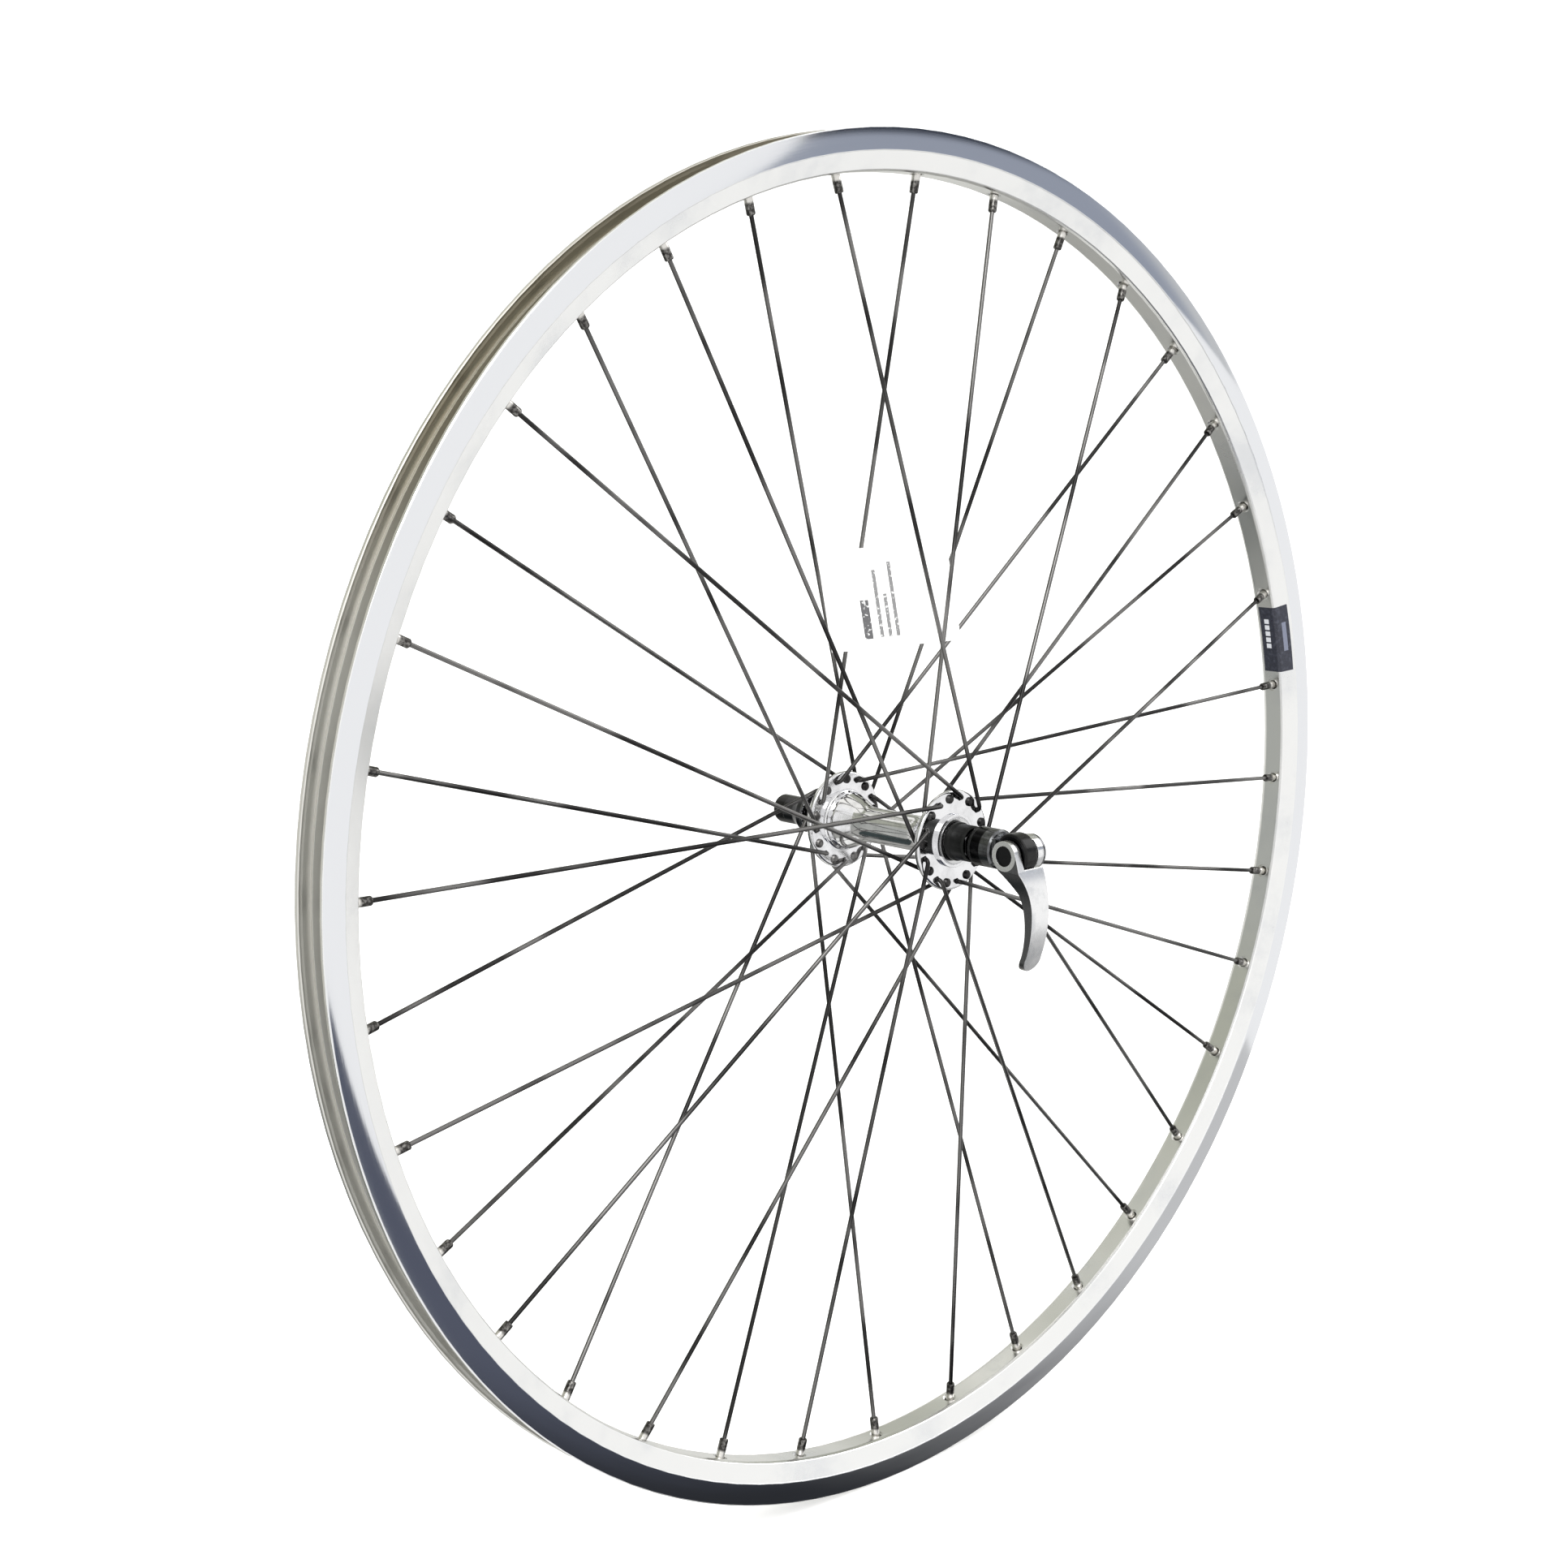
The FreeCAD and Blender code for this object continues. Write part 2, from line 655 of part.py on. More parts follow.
def build_bearing(side, name):
    cup = lathe(f"bearing_cup_{name}", on_side(side, [
        ("cup_radius", "cup_seat + thread_gap"),
        ("cup_radius", "hub_end"),
        ("cup_bore", "hub_end"),
        ("cup_bore", "ball_centre + 1.1"),
        ("cup_bore - 3.5", "ball_centre - 2.4"),
        ("cup_bore - 3.5", "cup_seat + thread_gap"),
    ]), turned=True)
    groove_race(cup, side)
    lathe(f"dust_cap_{name}", on_side(side, [
        ("cup_bore - thread_gap", "hub_end - 1.6"),
        ("cup_bore - thread_gap", "hub_end + 0.2"),
        ("dust_cap_bore", "hub_end - 0.2"),
        ("dust_cap_bore", "hub_end - 0.9"),
        ("cup_bore - 0.6", "hub_end - 0.7"),
        ("cup_bore - 0.6", "hub_end - 1.6"),
    ]), turned=True)
    balls = new_body(f"bearing_balls_{name}")
    centre_y = "ball_centre" if side == RIGHT else "-ball_centre"
    half_disc = new_sketch(balls, "half_disc", base=("ball_circle", centre_y, "0"))
    draw_outline(half_disc, [("0", "-ball_radius"), ("0", "ball_radius", "ball_radius", "0")])
    ball = turn(balls, half_disc, "ball")
    repeat(balls, [ball], "ring", "balls_per_side")


def build_axle():
    lathe("hollow_axle", both_sides([
        ("axle_radius", "axle_half_length - 0.6"),
        ("axle_radius - 0.6", "axle_half_length"),
        ("axle_bore", "axle_half_length"),
    ]))


def build_axle_end(side, name):
    bore = "axle_radius + thread_gap"
    far, near = "washer_start", "washer_start - 4"
    cone = lathe(f"cone_{name}", on_side(side, [
        (bore, "ball_centre - 2.2"),
        ("axle_radius + 1.1", "ball_centre - 2.2"),
        ("axle_radius + 1.1", "ball_centre - 0.1"),
        ("cone_radius", "ball_centre + 2.5"),
        ("cone_radius", "washer_start - thread_gap"),
        (bore, "washer_start - thread_gap"),
    ]))
    groove_race(cone, side)
    low, high = (near, far) if side == RIGHT else (f"-({far})", f"-({near})")
    cut_flats(cone, "cone_flats", 2, low, high)
    lathe(f"lock_washer_{name}", on_side(side, [
        (bore, "washer_start"),
        ("washer_radius", "washer_start"),
        ("washer_radius", "locknut_start - thread_gap"),
        (bore, "locknut_start - thread_gap"),
    ]))
    face = "over_locknuts / 2"
    nut = lathe(f"locknut_{name}", on_side(side, [
        (bore, "locknut_start"),
        ("locknut_corners - 0.5", "locknut_start"),
        ("locknut_corners", "locknut_start + 0.5"),
        ("locknut_corners", f"{face} - 0.5"),
        ("locknut_corners - 0.5", face),
        (bore, face),
    ]))
    low, high = ("locknut_start", face) if side == RIGHT else (f"-({face})", "-locknut_start")
    cut_flats(nut, "locknut_flats", 6, low, high)
    lathe(f"axle_boot_{name}", on_side(side, [
        ("boot_bore", "boot_start"),
        ("boot_radius + 0.3", "boot_start"),
        ("boot_radius + 0.6", "boot_start + 0.6"),
        ("boot_radius + 0.6", "boot_start + 2"),
        ("boot_radius", "boot_start + 3"),
        ("boot_radius", f"{face} - 1.4"),
        ("boot_radius - 0.5", f"{face} - 0.3"),
        ("boot_bore", f"{face} - 0.3"),
    ]))


# ---------------------------------------------------------------- quick release

def disc_sketch(body, name, x, radius, y="-pivot_offset", z="0"):
    """A circle across the X axis at the given x, with its centre near the cam's pivot."""
    sketch = new_sketch(body, name, "YZ_Plane", base=("0", "0", x))
    draw_circle(sketch, radius, y, z)
    return sketch


def block_sketch(body, name, low_y, high_y, low_z, high_z):
    sketch = new_sketch(body, name, "YZ_Plane")
    draw_outline(sketch, [(low_y, low_z), (high_y, low_z), (high_y, high_z), (low_y, high_z)])
    return sketch


def build_housing():
    """The lever's housing: a round body that bears on the fork, and a flat-sided head."""
    body = lathe("lever_housing", [
        ("skewer_radius + 0.2", "-housing_neck"),
        ("housing_radius - 0.8", "-housing_neck"),
        ("housing_radius", "-(housing_neck - 0.8)"),
        ("housing_radius", "-(housing_face + ring_seat)"),
        ("housing_recess", "-(housing_face + ring_seat)"),
        ("housing_recess", "-(housing_face + housing_recess_depth)"),
        ("skewer_radius + 0.2", "-(housing_face + housing_recess_depth)"),
    ])
    head = disc_sketch(body, "head", "0", "pivot_head_radius")
    pad(body, head, "pivot_head", "pivot_head_width", symmetric=True)
    neck = block_sketch(body, "neck", "-pivot_offset", "-(housing_neck - 1)",
                        "-neck_half_height", "neck_half_height")
    pad(body, neck, "pivot_neck", "pivot_head_width", symmetric=True)
    slot = block_sketch(body, "slot", "-(pivot_offset + pivot_head_radius + 1)",
                        "-(pivot_offset - eye_radius - cam_throw - eye_gap)",
                        "-(eye_radius + eye_gap)", "eye_radius + eye_gap")
    cut(body, slot, "eye_slot", "eye_width + 2 * eye_gap", symmetric=True)
    bore = disc_sketch(body, "bore", "0", "journal_radius + race_gap")
    cut(body, bore, "cam_bore", "2 * pivot_head_width", symmetric=True)
    rod = new_sketch(body, "rod", "XZ_Plane", base=("0", "0", "pivot_offset"))
    draw_circle(rod, "skewer_radius + 0.2")
    cut(body, rod, "rod_bore", "pivot_offset - housing_face")


def build_housing_cap():
    """The moulded cap that closes the housing's head, a band bent round the pivot."""
    body = new_body("housing_cap")
    inner, outer = "(pivot_head_radius + race_gap)", "cap_radius"
    start, middle, stop = 134, 44, -46

    def spot(radius, angle):
        """A place round the pivot; the angle is measured from outward towards +Z."""
        return (f"-(pivot_offset + {radius} * cos({angle}))", f"{radius} * sin({angle})")

    band = new_sketch(body, "band", "YZ_Plane", base=("0", "0", "-pivot_head_width / 2"))
    draw_outline(band, [
        (*spot(inner, start), *spot(inner, middle)),
        spot(outer, start),
        (*spot(outer, stop), *spot(outer, middle)),
        spot(inner, stop),
    ])
    pad(body, band, "cover", "cap_width")
    round_long_arcs(body, "cap_radius", "cap_round")


def round_long_arcs(body, arc_radius, radius):
    """Fillet the body's circular edges of one radius, wherever their centres are."""
    doc.recompute()
    tip = body.Tip
    names = [f"Edge{index}" for index, edge in enumerate(tip.Shape.Edges, start=1)
             if isinstance(edge.Curve, Part.Circle)
             and abs(edge.Curve.Radius - size(arc_radius)) < 1e-3]
    made = feature(body, "Fillet", "soft_edges", Base=(tip, names), Radius=size(radius))
    made.setExpression("Radius", linked(radius))


def build_grip_ring(label, side, face, inner, outer):
    """A hardened ring whose teeth bite on the fork."""
    body = lathe(label, on_side(side, [
        (inner, face),
        (f"{outer} - 0.3", face),
        (outer, f"{face} + 0.3"),
        (outer, f"{face} + ring_width"),
        (inner, f"{face} + ring_width"),
    ]))
    offset = f"{face} + tooth_depth" if side == LEFT else f"-({face} - tooth_depth)"
    groove = new_sketch(body, "groove", "XZ_Plane", base=("0", "0", offset))
    low, high = f"{inner} - 1", f"{outer} + 1"
    draw_outline(groove, [("-tooth_gap / 2", low), ("tooth_gap / 2", low),
                          ("tooth_gap / 2", high), ("-tooth_gap / 2", high)])
    first = cut(body, groove, "first_groove", "2 * tooth_depth")
    repeat(body, [first], "teeth", "tooth_count")


def build_cam_shaft():
    """The shaft the lever turns: two journals with the eccentric cam between them."""
    body = new_body("cam_shaft")
    half_eye = "(eye_width / 2 + eye_gap + 0.1)"
    half_head = "pivot_head_width / 2"
    segments = {
        "left_journal": ("-(boss_face - 1.2)", f"boss_face - 1.2 - {half_eye}", "journal_radius",
                         "-pivot_offset"),
        "cam": (f"-{half_eye}", f"2 * {half_eye}", "cam_radius", "-(pivot_offset + cam_throw)"),
        "right_journal": (half_eye, f"{half_head} + 0.15 - {half_eye}", "journal_radius",
                          "-pivot_offset"),
        "right_head": (f"{half_head} + 0.15", "1.6", "shaft_head_radius", "-pivot_offset"),
    }
    for name, (x, length, radius, y) in segments.items():
        pad(body, disc_sketch(body, name, x, radius, y), f"{name}_pad", length)


def build_lever():
    """The curved lever, closed: a round boss on the cam shaft and a blade that hangs down."""
    body = new_body("lever")

    def out(distance, z):
        """A place in the side view, its first part measured outward from the pivot."""
        return (f"-(pivot_offset + ({distance}))", z)

    side_view = new_sketch(body, "side_view", "YZ_Plane")
    disc = "boss_disc_radius"
    draw_outline(side_view, [
        (*out(f"-{disc} * cos(40)", f"-{disc} * sin(40)"),
         *out(f"{disc} * cos(80)", f"{disc} * sin(80)")),
        out("5.6", "-17"),
        (*out("3.7", "-51.2"), *out("8.1", "-33")),
        (*out("5.9", "-52.7"), *out("4.3", "-52.7")),
        (*out("8.8", "-6.1"), *out("12.3", "-30")),
        out(f"{disc} * cos(15)", f"{disc} * sin(15)"),
    ])
    pad(body, side_view, "blank", "2 * boss_face", symmetric=True)

    nub_y, nub_z = out("8.4", "-35.5")
    nub = disc_sketch(body, "nub", "0", "nub_radius", nub_y, nub_z)
    pad(body, nub, "thumb_nub", "lever_width - 3", symmetric=True)

    # Everything outside the front view's outline is trimmed away
    front_view = new_sketch(body, "front_view", "XZ_Plane", base=("0", "0", "2 * pivot_offset"))
    reach = "6 * lever_width"
    draw_outline(front_view, [(f"-{reach}", f"-{reach}"), (reach, f"-{reach}"),
                              (reach, reach), (f"-{reach}", reach)], "frame")
    half = "lever_width / 2"
    draw_outline(front_view, [
        ("-boss_face", "lever_width"),
        ("-boss_face", "-7"),
        (f"-{half} - 0.3", "-25", "-7.6", "-15"),
        (f"-{half} + 0.4", "-46"),
        (f"{half} - 0.4", "-46", "0", "-52.7"),
        (half, "-25"),
        (half, "lever_width"),
    ], "blade")
    cut(body, front_view, "trim", "2 * pivot_offset")

    room = disc_sketch(body, "room", "-(pivot_head_width / 2 + lever_clearance)",
                       "cap_radius + lever_clearance")
    cut(body, room, "housing_room", "4 * lever_width", backward=True)
    socket = disc_sketch(body, "socket", "-(boss_face - 1.2 + thread_gap)",
                         "journal_radius + thread_gap")
    cut(body, socket, "shaft_socket", "boss_face", backward=True)
    recess = disc_sketch(body, "recess", "-boss_face", "boss_recess_radius")
    cut(body, recess, "boss_recess", "boss_recess_depth", backward=True)


def build_skewer():
    """The rod through the axle, with a slotted eye round the cam at the lever's end."""
    body = lathe("skewer_rod", [
        ("0", "-(pivot_offset - eye_radius + 1.5)"),
        ("skewer_radius", "-(pivot_offset - eye_radius + 1.5)"),
        ("skewer_radius", "nut_cap_start + 2"),
        ("skewer_radius - 0.5", "nut_cap_start + 2.5"),
        ("0", "nut_cap_start + 2.5"),
    ])
    # The eye stands a throw further out while the lever is closed
    eye_y = "(pivot_offset + cam_throw)"
    pad(body, disc_sketch(body, "eye", "0", "eye_radius", f"-{eye_y}"), "eye_pad", "eye_width",
        symmetric=True)
    reach, rise = "(cam_radius + eye_gap)", "(cam_radius + cam_throw + eye_gap)"
    opening = new_sketch(body, "opening", "YZ_Plane")
    flat = f"({rise} - {reach})"
    outer, inner = f"-({eye_y} + {reach})", f"-({eye_y} - {reach})"
    draw_outline(opening, [
        (outer, flat, f"-{eye_y}", rise),
        (outer, f"-{flat}"),
        (inner, f"-{flat}", f"-{eye_y}", f"-{rise}"),
        (inner, flat),
    ])
    cut(body, opening, "eye_opening", "2 * eye_width", symmetric=True)


def build_spring(label, side):
    """A conical spring that centres the skewer; its small end faces the hub."""
    body = new_body(label)
    if side == LEFT:
        body.Placement = Placement(Vector(), Rotation(Vector(0, 0, 1), 180))
    wire = new_sketch(body, "wire", base=("spring_small_radius", "spring_start", "0"))
    draw_circle(wire, "spring_wire_radius")
    helix = feature(body, "AdditiveHelix", "coil", Profile=wire)
    helix.ReferenceAxis = (origin_feature(body, "Y_Axis"), [""])
    helix.Mode = "pitch-turns-angle"
    helix.Pitch = size("spring_pitch")
    helix.Turns = size("spring_turns")
    helix.Angle = size("spring_flare_angle")
    helix.setExpression("Pitch", linked("spring_pitch"))
    helix.setExpression("Turns", linked("spring_turns"))
    helix.setExpression("Angle", linked("spring_flare_angle"))


def build_nut():
    """The adjusting nut: its body, the threaded insert that grips the skewer, and its cap."""
    thread = "skewer_radius + thread_gap"
    waist, lip = "nut_face + 9.5", "(nut_neck_radius - nut_lip)"
    insert_start, insert_end = "(nut_cap_start - 2)", "(nut_cap_start + 2.5)"
    body = lathe("nut_body", [
        ("nut_recess", "nut_face + ring_seat"),
        ("nut_base_radius", "nut_face + ring_seat"),
        ("nut_base_radius", "nut_face + 4.2"),
        ("nut_base_radius - 0.6", "nut_face + 4.8"),
        ("nut_neck_radius", waist),
        ("nut_neck_radius", "nut_cap_start"),
        (lip, "nut_cap_start"),
        (lip, insert_end),
        ("insert_radius", insert_end),
        ("insert_radius", insert_start),
        (thread, insert_start),
        (thread, "nut_face + nut_recess_depth"),
        ("nut_recess", "nut_face + nut_recess_depth"),
    ])
    round_rings(body, "waist", [("nut_neck_radius", waist)], "nut_waist_round")
    lathe("nut_insert", [
        (thread, f"{insert_start} + thread_gap"),
        ("insert_radius - thread_gap", f"{insert_start} + thread_gap"),
        ("insert_radius - thread_gap", f"{insert_end} - 0.2"),
        (thread, f"{insert_end} - 0.2"),
    ])
    roof = "(nut_end - 2.4)"
    lathe("nut_cap", [
        (f"{lip} + thread_gap", "nut_cap_start + thread_gap"),
        ("nut_neck_radius", "nut_cap_start + thread_gap"),
        ("nut_neck_radius", "nut_end - 2.5"),
        ("nut_neck_radius - 2.5", "nut_end", "nut_neck_radius - 0.75", "nut_end - 0.75"),
        ("0", "nut_end"),
        ("0", roof),
        (f"{lip} + thread_gap", roof),
    ])


# ---------------------------------------------------------------- build, check and export

build_rim()
build_rim_joint()
build_label()
for set_label, spoke_line in SPOKE_SETS.items():
    build_spokes(set_label, spoke_line)
for side_name in ("left", "right"):
    side_lines = [line for label, line in SPOKE_SETS.items() if side_name in label]
    build_nipples(f"nipples_{side_name}", side_lines)
build_card()
build_hub_shell()
build_axle()
for hub_side, side_name in ((LEFT, "left"), (RIGHT, "right")):
    build_bearing(hub_side, side_name)
    build_axle_end(hub_side, side_name)
build_housing()
build_housing_cap()
build_grip_ring("housing_grip_ring", LEFT, "housing_face", "housing_recess", "housing_radius")
build_cam_shaft()
build_lever()
build_skewer()
build_spring("spring_left", LEFT)
build_nut()
build_grip_ring("nut_grip_ring", RIGHT, "nut_face", "nut_recess", "nut_base_radius")
build_spring("spring_right", RIGHT)

doc.recompute()
failed = [item.Name for item in doc.Objects if {"Invalid", "Error"} & set(item.State)]
if failed:
    raise RuntimeError(f"failed objects: {failed}")
for body in sub_parts:
    if body.Shape.isNull() or not body.Shape.isValid() or not body.Shape.Solids:
        raise RuntimeError(f"{body.Label} has no valid shape")

os.makedirs(NODE_FOLDER, exist_ok=True)
for body in sub_parts:
    body.Shape.exportStep(os.path.join(NODE_FOLDER, f"{body.Label}.step"))
    print(body.Label, len(body.Shape.Solids), round(body.Shape.Volume, 1))
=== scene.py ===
import math

import bpy
from mathutils import Matrix, Vector


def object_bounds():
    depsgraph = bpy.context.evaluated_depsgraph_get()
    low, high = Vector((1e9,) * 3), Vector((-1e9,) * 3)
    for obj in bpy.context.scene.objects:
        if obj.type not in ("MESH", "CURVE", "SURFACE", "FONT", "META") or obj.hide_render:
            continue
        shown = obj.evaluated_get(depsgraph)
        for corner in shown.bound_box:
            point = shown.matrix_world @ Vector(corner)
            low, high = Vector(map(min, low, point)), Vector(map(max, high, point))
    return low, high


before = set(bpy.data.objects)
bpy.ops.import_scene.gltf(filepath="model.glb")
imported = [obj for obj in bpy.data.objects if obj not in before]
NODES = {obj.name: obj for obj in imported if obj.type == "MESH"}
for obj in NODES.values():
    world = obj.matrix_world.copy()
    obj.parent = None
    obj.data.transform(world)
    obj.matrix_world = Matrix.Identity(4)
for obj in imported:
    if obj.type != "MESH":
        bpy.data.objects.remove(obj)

# Looks for a bicycle front wheel with a quick-release skewer. Metres, in the CAD frame: the hub's
# centre is the origin, the wheel spins about +Y, the lever is on the left at -Y and +Z is up.

CAD_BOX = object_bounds()
MM = 0.001
WHITE = (1.0, 1.0, 1.0)

RIM_RADIUS = 317.0 * MM
BRAKE_TRACK_FOOT = 306.6 * MM
TRACK_MIDDLE = 311.8 * MM
TRACK_HALF_WIDTH = 5.2 * MM
TRACK_CROWN = 0.11 * MM
HALF_RIM_WIDTH = 10.0 * MM
WELL_FLOOR = 306.5 * MM
SPOKE_PHASE = math.radians(-8.05)
LABEL_ANGLE = SPOKE_PHASE + math.radians(85.0)
LABEL_RADIUS = 300.0 * MM
MARK_COUNT = 5
MARK_STEP = 3.5
# Radii between which the nipples' painted dark reflection fades out towards the rim bed.
NIPPLE_PAINTED_DARK_END = 296.0 * MM
NIPPLE_PAINTED_DARK_START = 294.6 * MM

PLATING_END = -60.0 * MM
HEAD_START = -68.0 * MM
PIVOT_Y = -77.0 * MM
BOSS_FACE = -11.2 * MM
BOSS_DEPTH = 3.7 * MM
# Pivot boss: radii of the painted dark centre and of the painted highlight ring around it.
BOSS_SHADE_RADIUS = 4.6 * MM
BOSS_HIGHLIGHT_RADIUS = 6.8 * MM

CAMERA_AZIMUTH = math.radians(-43.0856)
CAMERA_ELEVATION = math.radians(9.8137)
CAMERA_DISTANCE = 1103.02 * MM
CAMERA_RIGHT = -52.28 * MM
CAMERA_UP = 21.134 * MM
CAMERA_LENS = 54.19


# ---------------------------------------------------------------- shader helper

class Shader:
    """A material whose nodes are added and joined by short calls."""

    def __init__(self, name):
        self.material = bpy.data.materials.new(name)
        self.material.use_nodes = True
        self.tree = self.material.node_tree
        self.surface = self.tree.nodes["Principled BSDF"]
        coordinates = self.tree.nodes.new("ShaderNodeTexCoord")
        self.place = coordinates.outputs["Object"]
        self.normal = coordinates.outputs["Normal"]
        self.x, self.y, self.z = (self.part_of(self.place, axis) for axis in range(3))

    def part_of(self, vector, axis):
        """One of a vector's three parts."""
        split = self.tree.nodes.new("ShaderNodeSeparateXYZ")
        self.tree.links.new(vector, split.inputs[0])
        return split.outputs[axis]

    def put(self, socket, value):
        """Join a socket to another socket, or give it a plain value."""
        if isinstance(value, bpy.types.NodeSocket):
            self.tree.links.new(value, socket)
        elif isinstance(value, tuple) and len(value) == 3 and socket.type == "RGBA":
            socket.default_value = (*value, 1.0)
        else:
            socket.default_value = value

    def set(self, **inputs):
        for name, value in inputs.items():
            self.put(self.surface.inputs[name.replace("_", " ")], value)
        return self

    def math(self, operation, first, second=0.0, third=0.0):
        node = self.tree.nodes.new("ShaderNodeMath")
        node.operation = operation
        for socket, value in zip(node.inputs, (first, second, third)):
            self.put(socket, value)
        return node.outputs[0]

    def vector(self, x, y, z):
        node = self.tree.nodes.new("ShaderNodeCombineXYZ")
        for socket, value in zip(node.inputs, (x, y, z)):
            self.put(socket, value)
        return node.outputs[0]

    def noise(self, place, scale=1.0, detail=2.0, roughness=0.5):
        node = self.tree.nodes.new("ShaderNodeTexNoise")
        self.put(node.inputs["Vector"], place)
        node.inputs["Scale"].default_value = scale
        node.inputs["Detail"].default_value = detail
        node.inputs["Roughness"].default_value = roughness
        return node.outputs["Fac"]

    def span(self, value, low, high, to_low=0.0, to_high=1.0):
        """Map a value from one range to another, smoothly and without passing the ends."""
        node = self.tree.nodes.new("ShaderNodeMapRange")
        node.interpolation_type = "SMOOTHSTEP"
        for socket, amount in zip(node.inputs, (value, low, high, to_low, to_high)):
            self.put(socket, amount)
        return node.outputs[0]

    def mix(self, share, first, second):
        node = self.tree.nodes.new("ShaderNodeMix")
        node.data_type = "RGBA"
        self.put(node.inputs["Factor"], share)
        self.put(node.inputs[6], first)
        self.put(node.inputs[7], second)
        return node.outputs[2]

    def radius(self):
        """Distance from the wheel's axis."""
        squares = [self.math("MULTIPLY", part, part) for part in (self.x, self.z)]
        return self.math("SQRT", self.math("ADD", *squares))

    def angle(self):
        """Angle round the wheel's axis, from +Z towards +X."""
        return self.math("ARCTAN2", self.x, self.z)

    def relief(self, height, strength, distance, under=None):
        """A normal bent by a height field, on top of the normal under it."""
        node = self.tree.nodes.new("ShaderNodeBump")
        node.inputs["Strength"].default_value = strength
        node.inputs["Distance"].default_value = distance
        self.put(node.inputs["Height"], height)
        if under:
            self.tree.links.new(under, node.inputs["Normal"])
        return node.outputs[0]

    def bump(self, height, strength, distance, edge=0.0, crown=None):
        """Surface relief from a height, over edges softened by the edge radius."""
        under = None
        if edge:
            soft = self.tree.nodes.new("ShaderNodeBevel")
            soft.samples = 6
            soft.inputs["Radius"].default_value = edge
            under = soft.outputs[0]
        if crown:
            under = self.relief(crown[0], 1.0, crown[1], under)
        normal = self.relief(height, strength, distance, under)
        self.tree.links.new(normal, self.surface.inputs["Normal"])
        return self


def turned_metal(name, color, roughness, line_size=0.25 * MM, depth=0.02 * MM, edge=0.15 * MM):
    """Metal turned about the Y axis: fine rings, faint stains and softened edges."""
    shader = Shader(name)
    rings = shader.vector(shader.math("MULTIPLY", shader.radius(), 1 / line_size),
                          shader.math("MULTIPLY", shader.y, 1 / line_size),
                          shader.math("MULTIPLY", shader.angle(), 1.5))
    lines = shader.noise(rings, 1.0, 3.0, 0.6)
    stains = shader.noise(shader.place, 160.0, 4.0, 0.6)
    darker = tuple(part * 0.82 for part in color)
    tint = shader.mix(shader.span(stains, 0.35, 0.75), color, darker)
    spread = shader.math("MULTIPLY", roughness * 0.7, shader.math("ADD", lines, stains))
    shader.set(Base_Color=tint, Metallic=1.0,
               Roughness=shader.math("ADD", spread, roughness * 0.3))
    return shader.bump(lines, 0.25, depth, edge).material


def moulded(name, color, roughness, grain=0.35 * MM, depth=0.03 * MM, edge=0.2 * MM, coat=0.0):
    """A moulded rubber or plastic skin with a fine grain and rubbed patches."""
    shader = Shader(name)
    skin = shader.noise(shader.place, 1 / grain, 3.0, 0.6)
    rubbed = shader.noise(shader.place, 120.0, 4.0, 0.55)
    paler = tuple(part * 1.9 + 0.006 for part in color)
    tint = shader.mix(shader.span(rubbed, 0.5, 0.8), color, paler)
    spread = shader.math("MULTIPLY", rubbed, 0.22)
    shader.set(Base_Color=tint, Coat_Weight=coat, Coat_Roughness=0.12, Specular_IOR_Level=0.2,
               Roughness=shader.math("ADD", spread, roughness - 0.1))
    return shader.bump(skin, 0.3, depth, edge).material


